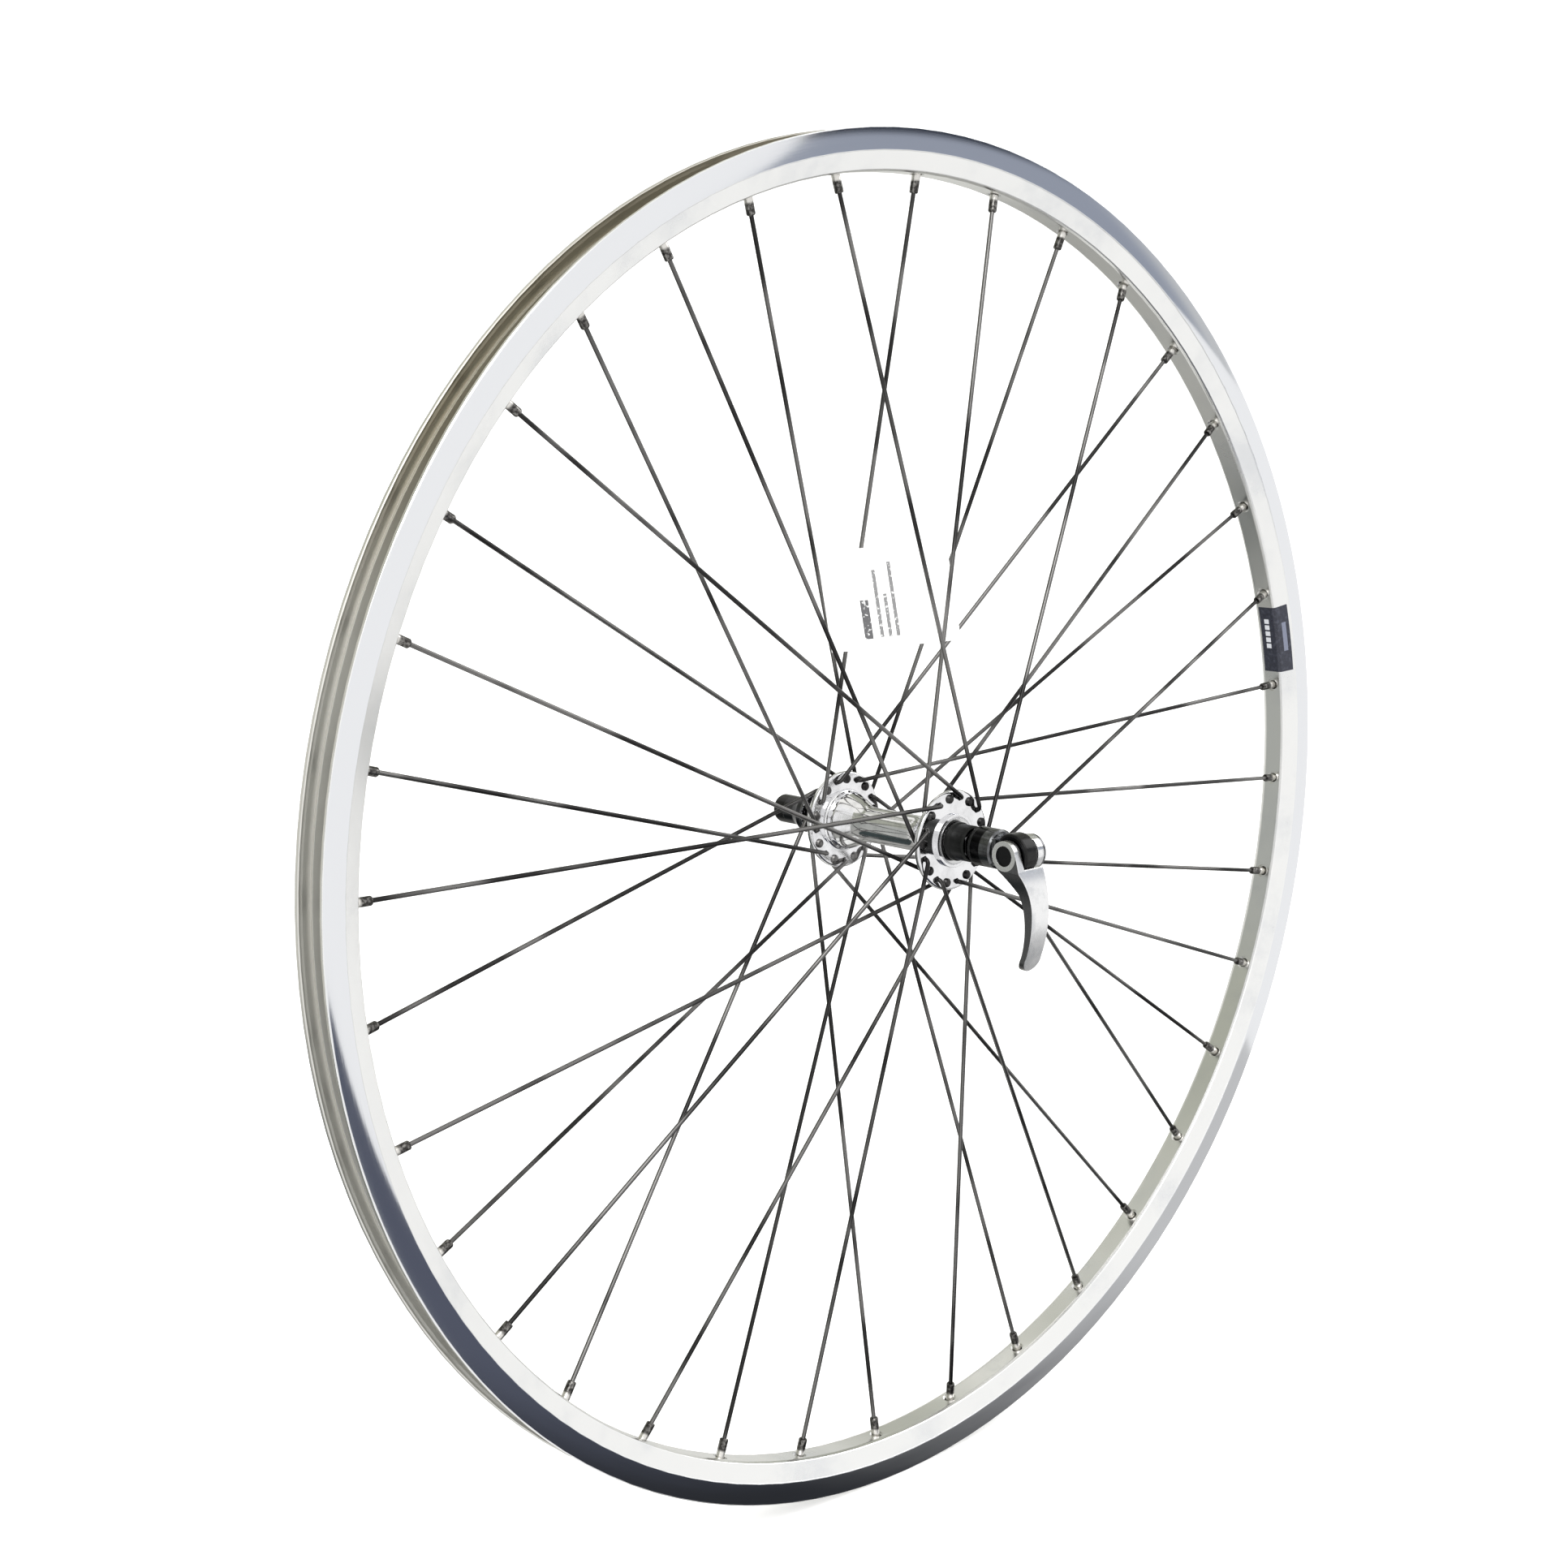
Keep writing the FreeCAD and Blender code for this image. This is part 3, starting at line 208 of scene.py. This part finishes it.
def rim_metal():
    """Polished extrusion: smooth walls, brake tracks with fine rings, a cream channel and a
    painted dark reflection on the channel's far wall.
    """
    shader = Shader("rim_silver")
    radius, angle = shader.radius(), shader.angle()
    grain_width, grain_length, ring_width = 0.22 * MM, 9 * MM, 0.35 * MM
    along = shader.math("MULTIPLY", angle, RIM_RADIUS / grain_length)
    fine = shader.vector(shader.math("MULTIPLY", radius, 1 / grain_width),
                         shader.math("MULTIPLY", shader.y, 1 / grain_width), along)
    brushed = shader.noise(fine, 1.0, 4.0, 0.65)
    turned = shader.vector(shader.math("MULTIPLY", radius, 1 / ring_width), 0.0,
                           shader.math("MULTIPLY", angle, 3.0))
    rings = shader.noise(turned, 1.0, 2.0, 0.5)
    outward = shader.math("ABSOLUTE", shader.y)
    on_side = shader.span(outward, HALF_RIM_WIDTH - 0.30 * MM, HALF_RIM_WIDTH - 0.12 * MM)
    above_foot = shader.span(radius, BRAKE_TRACK_FOOT, BRAKE_TRACK_FOOT + 0.3 * MM)
    track = shader.math("MULTIPLY", on_side, above_foot)
    smudge = shader.noise(shader.place, 22.0, 5.0, 0.6)
    clean, worn = (0.93, 0.93, 0.915), (0.80, 0.81, 0.82)
    tint = shader.mix(shader.span(smudge, 0.45, 0.75), clean, worn)
    tint = shader.mix(track, tint, (0.82, 0.83, 0.85))
    above_well = shader.span(radius, WELL_FLOOR + 0.4 * MM, WELL_FLOOR + 1.2 * MM)
    between_walls = shader.span(outward, HALF_RIM_WIDTH - 0.7 * MM, HALF_RIM_WIDTH - 1.1 * MM)
    channel = shader.math("MULTIPLY", above_well, between_walls)
    # Painted reflection: the inside of the far wall, which faces -Y, is greyed and turns dark
    # olive towards the top, standing in for a dark reflection.
    toward_left = shader.span(shader.part_of(shader.normal, 1), -0.6, -0.8)
    far_wall = shader.math("MULTIPLY", channel, toward_left)
    painted_reflection = shader.mix(shader.span(shader.z, 0.08, 0.20), (0.58, 0.58, 0.56), (0.24, 0.22, 0.17))
    tint = shader.mix(channel, tint, (0.92, 0.90, 0.84))
    tint = shader.mix(far_wall, tint, painted_reflection)
    wall = shader.math("MULTIPLY_ADD", smudge, 0.15, 0.18)
    machined = shader.math("MULTIPLY_ADD", rings, 0.07, 0.035)
    roughness = shader.math("ADD", shader.math("MULTIPLY", track, machined),
                            shader.math("MULTIPLY", shader.math("SUBTRACT", 1.0, track), wall))
    roughness = shader.math("MULTIPLY_ADD", channel, 0.18, roughness)
    relief = shader.math("ADD", shader.math("MULTIPLY", track, rings),
                         shader.math("MULTIPLY", brushed, 0.35))
    shader.set(Base_Color=tint, Metallic=1.0, Roughness=roughness)
    across = shader.math("DIVIDE", shader.math("SUBTRACT", radius, TRACK_MIDDLE), TRACK_HALF_WIDTH)
    crown = shader.math("MULTIPLY", shader.math("MULTIPLY", across, across),
                        shader.math("MULTIPLY", track, -1.0))
    return shader.bump(relief, 0.12, 0.02 * MM, 0.25 * MM, (crown, TRACK_CROWN)).material


def spoke_steel():
    """Drawn stainless wire: grey, darker on some spokes than others, with short streaks."""
    shader = Shader("spoke_steel")
    streaks = shader.noise(shader.place, 900.0, 3.0, 0.6)
    patches = shader.noise(shader.place, 16.0, 3.0, 0.5)
    tint = shader.mix(shader.span(patches, 0.42, 0.58), (0.20, 0.195, 0.19), (0.035, 0.034, 0.034))
    shader.set(Base_Color=tint, Metallic=1.0,
               Roughness=shader.math("MULTIPLY_ADD", streaks, 0.25, 0.18))
    return shader.bump(streaks, 0.2, 0.02 * MM).material


def nipple_plate():
    """Nickel-plated brass, dull, with a painted dark reflection on the part towards the spoke,
    broken up by noise.
    """
    shader = Shader("nipple_plate")
    stains = shader.noise(shader.place, 700.0, 3.0, 0.6)
    # Painted reflection: the nipple is darkened inward of the rim bed, towards the spoke, and only
    # its end by the bed stays bright.
    inner = shader.span(shader.radius(), NIPPLE_PAINTED_DARK_END, NIPPLE_PAINTED_DARK_START)
    dark = shader.math("MULTIPLY", inner, shader.span(stains, 0.25, 0.6, 0.6, 1.0))
    tint = shader.mix(dark, (0.78, 0.76, 0.72), (0.05, 0.047, 0.045))
    shader.set(Base_Color=tint, Metallic=1.0,
               Roughness=shader.math("MULTIPLY_ADD", stains, 0.3, 0.15))
    return shader.bump(stains, 0.2, 0.03 * MM, 0.15 * MM).material


def bars(shader, across, along, rows):
    """A mask of plain bars. Each row is (low, high) across and (low, high) along."""
    total = 0.0
    for low, high, start, stop in rows:
        edges = [shader.math("GREATER_THAN", across, low), shader.math("LESS_THAN", across, high),
                 shader.math("GREATER_THAN", along, start), shader.math("LESS_THAN", along, stop)]
        inside = shader.math("MULTIPLY", shader.math("MULTIPLY", edges[0], edges[1]),
                             shader.math("MULTIPLY", edges[2], edges[3]))
        total = shader.math("MAXIMUM", total, inside)
    return total


def label_film():
    """Blue-black gloss film over the rim's joint, with plain pale bars."""
    shader = Shader("label_film")
    turn = shader.math("SUBTRACT", shader.angle(), LABEL_ANGLE)
    along = shader.math("MULTIPLY", turn, LABEL_RADIUS)
    wear = shader.noise(shader.place, 500.0, 3.0, 0.6)
    starts = [(MARK_STEP * index - 11.5) * MM for index in range(MARK_COUNT)]
    marks = bars(shader, shader.y, along, [(-1.5 * MM, 1.5 * MM, start, start + 2.6 * MM)
                                           for start in starts])
    faint = bars(shader, shader.y, along, [(-8.4 * MM, -7.4 * MM, -9.0 * MM, 7.0 * MM)])
    tint = shader.mix(shader.span(wear, 0.45, 0.8), (0.012, 0.014, 0.028), (0.05, 0.055, 0.08))
    tint = shader.mix(shader.math("MULTIPLY", marks, 0.8), tint, (0.72, 0.74, 0.78))
    tint = shader.mix(shader.math("MULTIPLY", faint, 0.8), tint, (0.20, 0.22, 0.30))
    shader.set(Base_Color=tint, Roughness=shader.math("MULTIPLY_ADD", wear, 0.2, 0.2),
               Coat_Weight=0.4, Coat_Roughness=0.1)
    return shader.bump(wear, 0.15, 0.03 * MM).material


def card_stock(origin, across_axis, along_axis):
    """White card with plain dark bars: one bold column and three thin broken lines. The paper
    glows faintly, painted light that keeps it white.
    """
    shader = Shader("card_stock")

    def measured(axis):
        terms = [shader.math("MULTIPLY", shader.math("SUBTRACT", part, start), slope)
                 for part, start, slope in zip((shader.x, shader.y, shader.z), origin, axis)]
        return shader.math("ADD", shader.math("ADD", terms[0], terms[1]), terms[2])

    across, along = measured(across_axis), measured(along_axis)
    fibres = shader.noise(shader.place, 1800.0, 4.0, 0.6)
    bold = bars(shader, across, along, [(20.7 * MM, 25.8 * MM, 4.3 * MM, 21.8 * MM)])
    lines = bars(shader, across, along, [(30.2 * MM, 32.5 * MM, 4.7 * MM, 35.0 * MM),
                                         (35.4 * MM, 37.6 * MM, 4.7 * MM, 24.0 * MM),
                                         (40.2 * MM, 42.5 * MM, 4.7 * MM, 38.2 * MM)])
    cells = shader.noise(shader.vector(shader.math("MULTIPLY", across, 450.0),
                                       shader.math("MULTIPLY", along, 650.0), 0.0))
    broken = shader.span(cells, 0.34, 0.44, 0.45, 1.0)
    ink = shader.math("MAXIMUM", shader.math("MULTIPLY", bold, 0.97),
                      shader.math("MULTIPLY", lines, 0.85))
    ink = shader.math("MULTIPLY", ink, broken)
    paper = shader.mix(fibres, (0.90, 0.90, 0.885), (0.97, 0.97, 0.96))
    # Painted light: the paper, not the ink, glows faintly so that it reads white.
    shader.set(Base_Color=shader.mix(ink, paper, (0.08, 0.08, 0.085)), Roughness=0.55,
               Emission_Color=shader.mix(ink, WHITE, (0.0, 0.0, 0.0)),
               Emission_Strength=0.3)
    return shader.bump(fibres, 0.2, 0.03 * MM).material


def housing_metal():
    """The housing: black by the fork, dark chrome beyond, and a head polished on its far side."""
    shader = Shader("housing_metal")
    stains = shader.noise(shader.place, 260.0, 4.0, 0.6)
    fine = shader.noise(shader.place, 2500.0, 3.0, 0.6)
    beyond = shader.span(shader.y, PLATING_END + 0.2 * MM, PLATING_END - 0.2 * MM)
    on_head = shader.span(shader.y, HEAD_START + 0.3 * MM, HEAD_START - 0.3 * MM)
    far_side = shader.span(shader.x, 0.5 * MM, 1.5 * MM)
    black = shader.mix(shader.span(stains, 0.5, 0.8), (0.010, 0.010, 0.011), (0.035, 0.035, 0.037))
    chrome = shader.mix(shader.span(stains, 0.35, 0.75), (0.17, 0.175, 0.18), (0.08, 0.08, 0.083))
    bright = shader.mix(shader.span(stains, 0.35, 0.75), (0.92, 0.92, 0.92), (0.70, 0.71, 0.72))
    tint = shader.mix(beyond, black, chrome)
    tint = shader.mix(on_head, tint, shader.mix(far_side, black, bright))
    shader.set(Base_Color=tint, Metallic=1.0,
               Roughness=shader.math("MULTIPLY_ADD", stains, 0.22, 0.06))
    return shader.bump(fine, 0.12, 0.02 * MM, 0.4 * MM).material


def lever_alloy():
    """Forged alloy: dark brushed cheeks, a polished back and, on the pivot boss, a painted
    highlight ring around a painted dark centre.
    """
    shader = Shader("lever_alloy")
    stretched = shader.vector(shader.math("MULTIPLY", shader.x, 2600.0),
                              shader.math("MULTIPLY", shader.y, 2600.0),
                              shader.math("MULTIPLY", shader.z, 260.0))
    brushed = shader.noise(stretched, 1.0, 3.0, 0.6)
    patches = shader.noise(shader.place, 130.0, 4.0, 0.55)
    facing = shader.part_of(shader.normal, 0)
    cheek = shader.span(shader.math("ABSOLUTE", facing), 0.6, 0.8)
    polished = shader.mix(shader.span(patches, 0.4, 0.7), (0.92, 0.92, 0.92), (0.74, 0.75, 0.76))
    grainy = shader.mix(brushed, (0.24, 0.24, 0.25), (0.10, 0.10, 0.105))
    offsets = (shader.math("SUBTRACT", shader.y, PIVOT_Y), shader.z)
    squares = [shader.math("MULTIPLY", part, part) for part in offsets]
    reach = shader.math("SQRT", shader.math("ADD", *squares))
    # Painted highlight and shade on the pivot boss: a bright ring stands in for a highlight, and
    # its middle is painted dark as shade.
    on_boss = shader.math("LESS_THAN", shader.x, BOSS_FACE + BOSS_DEPTH)
    inside = shader.math("MULTIPLY", on_boss, shader.math("LESS_THAN", reach, BOSS_SHADE_RADIUS))
    ring = shader.math("MULTIPLY", on_boss, shader.math("LESS_THAN", reach, BOSS_HIGHLIGHT_RADIUS))
    tint = shader.mix(cheek, polished, grainy)
    tint = shader.mix(ring, tint, (0.85, 0.85, 0.85))
    tint = shader.mix(inside, tint, (0.03, 0.03, 0.032))
    shader.set(Base_Color=tint, Metallic=1.0,
               Roughness=shader.math("ADD", shader.math("MULTIPLY", brushed, 0.14),
                                     shader.math("MULTIPLY_ADD", patches, 0.16, 0.10)))
    return shader.bump(brushed, 0.25, 0.03 * MM, 0.5 * MM).material


# ---------------------------------------------------------------- materials on the CAD nodes

def card_frame():
    """The card's lower left corner and its two edge directions, read from its own corners."""
    corners = [vertex.co.copy() for vertex in NODES["spoke_card"].data.vertices]
    foot = min(corners, key=lambda corner: corner.x + corner.z)
    across = max(corners, key=lambda corner: corner.x - corner.z) - foot
    along = max(corners, key=lambda corner: corner.z - corner.x) - foot
    return foot, across.normalized(), along.normalized()


MATERIALS = {
    ("rim",): rim_metal(),
    ("rim_joint_sleeve",): turned_metal("joint_sleeve", (0.72, 0.72, 0.72), 0.35),
    ("rim_label",): label_film(),
    ("spokes_left_leading", "spokes_left_trailing", "spokes_right_trailing",
     "spokes_right_leading"): spoke_steel(),
    ("nipples_left", "nipples_right"): nipple_plate(),
    ("spoke_card",): card_stock(*card_frame()),
    ("hub_shell",): turned_metal("hub_polish", (0.88, 0.88, 0.89), 0.07, edge=0.3 * MM),
    ("dust_cap_left", "dust_cap_right"): turned_metal("dust_cap", (0.75, 0.75, 0.75), 0.2),
    ("skewer_rod",): turned_metal("skewer_steel", (0.55, 0.55, 0.56), 0.22),
    ("hollow_axle", "lock_washer_left", "lock_washer_right", "locknut_left",
     "locknut_right", "housing_grip_ring"): turned_metal("black_oxide", (0.06, 0.06, 0.062), 0.3),
    ("bearing_cup_left", "bearing_cup_right", "bearing_balls_left", "bearing_balls_right",
     "cone_left", "cone_right"): turned_metal("hard_steel", (0.62, 0.62, 0.63), 0.16),
    ("cam_shaft", "nut_grip_ring"): turned_metal("dark_steel", (0.20, 0.20, 0.21), 0.22),
    ("axle_boot_left", "axle_boot_right"): moulded("boot_rubber", (0.003, 0.0035, 0.003), 0.35),
    ("lever_housing",): housing_metal(),
    ("housing_cap",): moulded("cap_black", (0.004, 0.004, 0.004), 0.25, coat=0.1, edge=0.4 * MM),
    ("lever",): lever_alloy(),
    ("nut_body",): turned_metal("nut_dark", (0.07, 0.07, 0.075), 0.22, edge=0.4 * MM),
    ("nut_cap",): moulded("nut_cap_black", (0.005, 0.005, 0.005), 0.22, coat=0.15),
    ("nut_insert",): moulded("insert_plastic", (0.8, 0.79, 0.74), 0.5),
    ("spring_left", "spring_right"): turned_metal("spring_steel", (0.5, 0.5, 0.52), 0.25),
}

for names, material in MATERIALS.items():
    for node_name in names:
        mesh = NODES[node_name].data
        mesh.materials.clear()
        mesh.materials.append(material)


# ---------------------------------------------------------------- studio

def add_floor():
    """A pale seamless sweep: a flat floor that curves up far behind the wheel."""
    ground = CAD_BOX[0].z - 0.1 * MM
    half_width, front, bend, radius, height = 14.0, -9.0, 5.0, 3.0, 9.0
    profile = [(front, 0.0), (bend, 0.0)]
    for step in range(1, 17):
        turn = math.pi / 2 * step / 16
        profile.append((bend + radius * math.sin(turn), radius * (1 - math.cos(turn))))
    profile.append((bend + radius, height))
    verts = [(side, reach, rise) for reach, rise in profile for side in (-half_width, half_width)]
    faces = [(2 * i, 2 * i + 1, 2 * i + 3, 2 * i + 2) for i in range(len(profile) - 1)]
    mesh = bpy.data.meshes.new("floor")
    mesh.from_pydata(verts, [], faces)
    for face in mesh.polygons:
        face.use_smooth = True
    floor = bpy.data.objects.new("floor", mesh)
    bpy.context.scene.collection.objects.link(floor)
    floor.location = (0.0, 0.0, ground)
    floor.rotation_euler = (0.0, 0.0, CAMERA_AZIMUTH)
    floor.visible_glossy = False
    shader = Shader("floor_white")
    grain = shader.noise(shader.place, 3.0, 3.0, 0.5)
    shader.set(Base_Color=shader.mix(grain, (0.92, 0.92, 0.92), (0.94, 0.94, 0.94)), Roughness=0.9,
               Emission_Color=WHITE, Emission_Strength=0.45)
    mesh.materials.append(shader.material)


def add_world():
    """White light from the front and above, and a dimmer room behind that the metal mirrors."""
    world = bpy.data.worlds.new("studio")
    bpy.context.scene.world = world
    world.use_nodes = True
    nodes, links = world.node_tree.nodes, world.node_tree.links
    background = nodes["Background"]
    split = nodes.new("ShaderNodeSeparateXYZ")
    links.new(nodes.new("ShaderNodeTexCoord").outputs["Generated"], split.inputs[0])

    def join(socket, value):
        if isinstance(value, bpy.types.NodeSocket):
            links.new(value, socket)
        elif isinstance(value, tuple):
            socket.default_value = (*value, 1.0)
        else:
            socket.default_value = value

    def math_node(operation, first, second=0.0):
        node = nodes.new("ShaderNodeMath")
        node.operation = operation
        join(node.inputs[0], first)
        join(node.inputs[1], second)
        return node.outputs[0]

    def smooth(value, low, high):
        node = nodes.new("ShaderNodeMapRange")
        node.interpolation_type = "SMOOTHSTEP"
        for socket, amount in zip(node.inputs, (value, low, high)):
            join(socket, amount)
        return node.outputs[0]

    def band(value, low, high, soft):
        """1 between two values given in degrees, falling to 0 over a soft edge."""
        low, high, soft = math.radians(low), math.radians(high), math.radians(soft)
        return math_node("MULTIPLY", smooth(value, low - soft, low + soft),
                         smooth(value, high + soft, high - soft))

    def tinted(share, first, second):
        node = nodes.new("ShaderNodeMix")
        node.data_type = "RGBA"
        for socket, value in zip((node.inputs["Factor"], node.inputs[6], node.inputs[7]),
                                 (share, first, second)):
            join(socket, value)
        return node.outputs[2]

    x, y, z = split.outputs
    elevation = math_node("ARCSINE", z)
    azimuth = math_node("ARCTAN2", math_node("MULTIPLY", y, -1.0), x)
    toward_left = smooth(azimuth, math.radians(-120), math.radians(-140))
    wall, left_wall, upper_wall, lower_wall = ((0.75, 0.75, 0.72), (0.38, 0.39, 0.37),
                                               (0.40, 0.41, 0.35), (0.38, 0.38, 0.36))
    cream, doorway_dark, floor_white = (1.0, 0.99, 0.95), (0.05, 0.065, 0.065), (1.0, 1.0, 0.98)
    window = math_node("MULTIPLY", band(elevation, 38, 46, 2), band(azimuth, -118, -40, 3))
    doorway = math_node("MULTIPLY", band(elevation, -46, -22, 2), band(azimuth, -131, -98, 2))
    room = tinted(toward_left, wall, left_wall)
    room = tinted(band(elevation, 19, 58, 2), room, upper_wall)
    room = tinted(window, room, cream)
    room = tinted(band(elevation, 58, 120, 2), room, cream)
    room = tinted(band(elevation, -62, -24, 3), room, lower_wall)
    room = tinted(doorway, room, doorway_dark)
    room = tinted(band(elevation, -120, -64, 2), room, floor_white)
    color = tinted(smooth(y, 0.0, 0.06), WHITE, room)
    seen = nodes.new("ShaderNodeLightPath").outputs["Is Camera Ray"]
    links.new(tinted(seen, color, WHITE), background.inputs["Color"])
    background.inputs["Strength"].default_value = 1.0


def add_flag(name, corners, near, far, start, stop):
    """A studio card that only the metal's reflections see.

    Its tint runs from one edge to the other between start and stop. The near edge has two
    tints of its own, one for each end.
    """
    mesh = bpy.data.meshes.new(name)
    mesh.from_pydata(corners, [], [(0, 1, 2, 3)])
    layer = mesh.uv_layers.new()
    for loop, place in zip(layer.data, ((0, 0), (1, 0), (1, 1), (0, 1))):
        loop.uv = place
    flag = bpy.data.objects.new(name, mesh)
    bpy.context.scene.collection.objects.link(flag)
    flag.visible_camera = flag.visible_diffuse = flag.visible_shadow = False
    shader = Shader(name)
    spread = shader.tree.nodes.new("ShaderNodeSeparateXYZ")
    layout = shader.tree.nodes.new("ShaderNodeTexCoord").outputs["UV"]
    shader.tree.links.new(layout, spread.inputs[0])
    streaks = shader.noise(shader.place, 7.0, 4.0, 0.6)
    ragged = shader.math("MULTIPLY_ADD", streaks, 0.12, -0.06)
    along = shader.math("ADD", spread.outputs[0], ragged)
    across = shader.math("ADD", spread.outputs[1], ragged)
    tint = shader.mix(shader.span(along, 0.6, 0.88), *near)
    tint = shader.mix(shader.span(across, start, stop), tint, far)
    shader.set(Base_Color=(0.0, 0.0, 0.0), Roughness=1.0, Specular_IOR_Level=0.0,
               Emission_Color=tint, Emission_Strength=1.0)
    mesh.materials.append(shader.material)


def add_light(name, place, width, power):
    """A soft square light that points at the hub."""
    lamp = bpy.data.lights.new(name, "AREA")
    lamp.size = width
    lamp.energy = power
    holder = bpy.data.objects.new(name, lamp)
    bpy.context.scene.collection.objects.link(holder)
    holder.location = place
    holder.rotation_mode = "QUATERNION"
    holder.rotation_quaternion = (-Vector(place)).to_track_quat("-Z", "Y")


def add_camera():
    """The camera at the photograph's distance and angle, aimed a little beside the hub."""
    turn, tilt = CAMERA_AZIMUTH, CAMERA_ELEVATION
    back = Vector((math.sin(turn) * math.cos(tilt), -math.cos(turn) * math.cos(tilt),
                   math.sin(tilt)))
    right = Vector((math.cos(turn), math.sin(turn), 0.0))
    up = back.cross(right)
    pose = Matrix((right, up, back)).transposed().to_4x4()
    pose.translation = back * CAMERA_DISTANCE + right * CAMERA_RIGHT + up * CAMERA_UP
    lens = bpy.data.cameras.new("camera")
    lens.sensor_width = 36.0
    lens.lens = CAMERA_LENS
    lens.clip_start, lens.clip_end = 0.01, 60.0
    camera = bpy.data.objects.new("camera", lens)
    bpy.context.scene.collection.objects.link(camera)
    camera.matrix_world = pose
    bpy.context.scene.camera = camera


add_floor()
add_world()
add_flag("low_flag",
         [(0.345, -1.40, -0.45), (-0.13, -0.05, -0.45), (0.92, -0.05, -0.45),
          (1.395, -1.40, -0.45)],
         near=((0.10, 0.11, 0.15), (0.028, 0.03, 0.035)), far=(0.62, 0.62, 0.62),
         start=0.18, stop=0.65)
add_flag("low_window",
         [(0.42, -1.40, -0.44), (0.30, -0.70, -0.44), (1.15, -0.70, -0.44), (1.40, -1.40, -0.44)],
         near=(WHITE, WHITE), far=WHITE, start=0.0, stop=1.0)
add_flag("side_flag",
         [(0.945, -1.096, 0.23), (1.5, -0.85, 0.23), (1.5, -0.85, 0.62), (0.945, -1.096, 0.62)],
         near=((0.33, 0.36, 0.43), (0.60, 0.61, 0.62)), far=(0.02, 0.025, 0.04),
         start=0.58, stop=0.8)
add_light("key_light", (-1.6, -2.0, 2.6), 2.0, 45.0)
add_light("fill_light", (2.6, -1.2, 1.8), 2.0, 20.0)
add_camera()
bpy.context.scene.view_settings.view_transform = "Standard"
